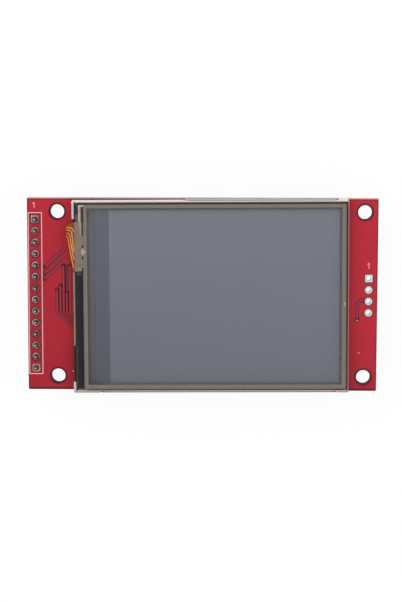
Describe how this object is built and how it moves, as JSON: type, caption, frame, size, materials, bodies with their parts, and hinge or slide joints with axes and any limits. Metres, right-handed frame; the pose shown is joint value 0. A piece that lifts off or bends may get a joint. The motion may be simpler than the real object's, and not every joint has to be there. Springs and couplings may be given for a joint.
{
  "type": "tft display module",
  "caption": "Flat colour display module with a touch panel on a red circuit board, a row of header pins at one end, plated signal holes at the other, and a card socket behind.",
  "frame": {"origin": "centre of the four mounting holes, on the circuit board's back face", "axes": "+Z out of the screen, +X along the board from the pin header to the signal holes"},
  "size_m": [0.0772, 0.0431, 0.0141],
  "materials": {
    "solder_mask_board": "red solder mask over copper and glass laminate",
    "solder": "tin-lead solder, satin",
    "plated_pin": "gold-flashed brass wire",
    "header_plastic": "black moulded nylon",
    "tray_metal": "thin stainless sheet",
    "frame_plastic": "white moulded polycarbonate",
    "reflector": "silvered film",
    "clear_plastic": "clear optical sheet",
    "black_tape": "black film tape",
    "foam_tape": "white foam tape",
    "display_glass": "thin display glass",
    "polarizer": "dark grey polarizer film",
    "silicon": "polished silicon",
    "touch_window": "hard-coated film with a grey-brown printed border",
    "touch_glass": "float glass",
    "ribbon": "orange polyimide ribbon with copper tracks",
    "led": "white light source with a pale yellow phosphor",
    "pad_metal": "tinned copper",
    "chip_plastic": "black moulded epoxy",
    "resistor_ceramic": "black glazed ceramic chip",
    "capacitor_ceramic": "tan ceramic chip",
    "socket_plastic": "black moulded polymer"
  },
  "bodies": {
    "root": {"backlight_frame": "frame_plastic", "backlight_leds": "led", "backlight_transistor_body": "chip_plastic", "backlight_transistor_leads": "pad_metal", "capacitor_bodies": "capacitor_ceramic", "chip_terminals": "pad_metal", "circuit_board": "solder_mask_board", "colour_filter_glass": "display_glass", "diffuser_film": "clear_plastic", "display_ribbon": "ribbon", "display_tray": "tray_metal", "driver_chip": "silicon", "front_polarizer": "polarizer", "header_body": "header_plastic", "header_pin_01": "plated_pin", "header_pin_02": "plated_pin", "header_pin_03": "plated_pin", "header_pin_04": "plated_pin", "header_pin_05": "plated_pin", "header_pin_06": "plated_pin", "header_pin_07": "plated_pin", "header_pin_08": "plated_pin", "header_pin_09": "plated_pin", "header_pin_10": "plated_pin", "header_pin_11": "plated_pin", "header_pin_12": "plated_pin", "header_pin_13": "plated_pin", "header_pin_14": "plated_pin", "led_strip": "ribbon", "ledge_tape": "black_tape", "light_guide": "clear_plastic", "lower_prism_film": "clear_plastic", "mounting_tape": "foam_tape", "rear_polarizer": "polarizer", "reflector_sheet": "reflector", "resistor_bodies": "resistor_ceramic", "ribbon_pads": "pad_metal", "rim_tape": "black_tape", "signal_holes": "pad_metal", "socket_body": "socket_plastic", "socket_contacts": "plated_pin", "socket_shell": "tray_metal", "solder_joints": "solder", "tft_glass": "display_glass", "touch_adhesive": "black_tape", "touch_controller_body": "chip_plastic", "touch_controller_leads": "pad_metal", "touch_film": "touch_window", "touch_glass": "touch_glass", "touch_ribbon": "ribbon", "touch_spacer": "black_tape", "upper_prism_film": "clear_plastic", "voltage_regulator_body": "chip_plastic", "voltage_regulator_leads": "pad_metal"}
  },
  "joints": []
}
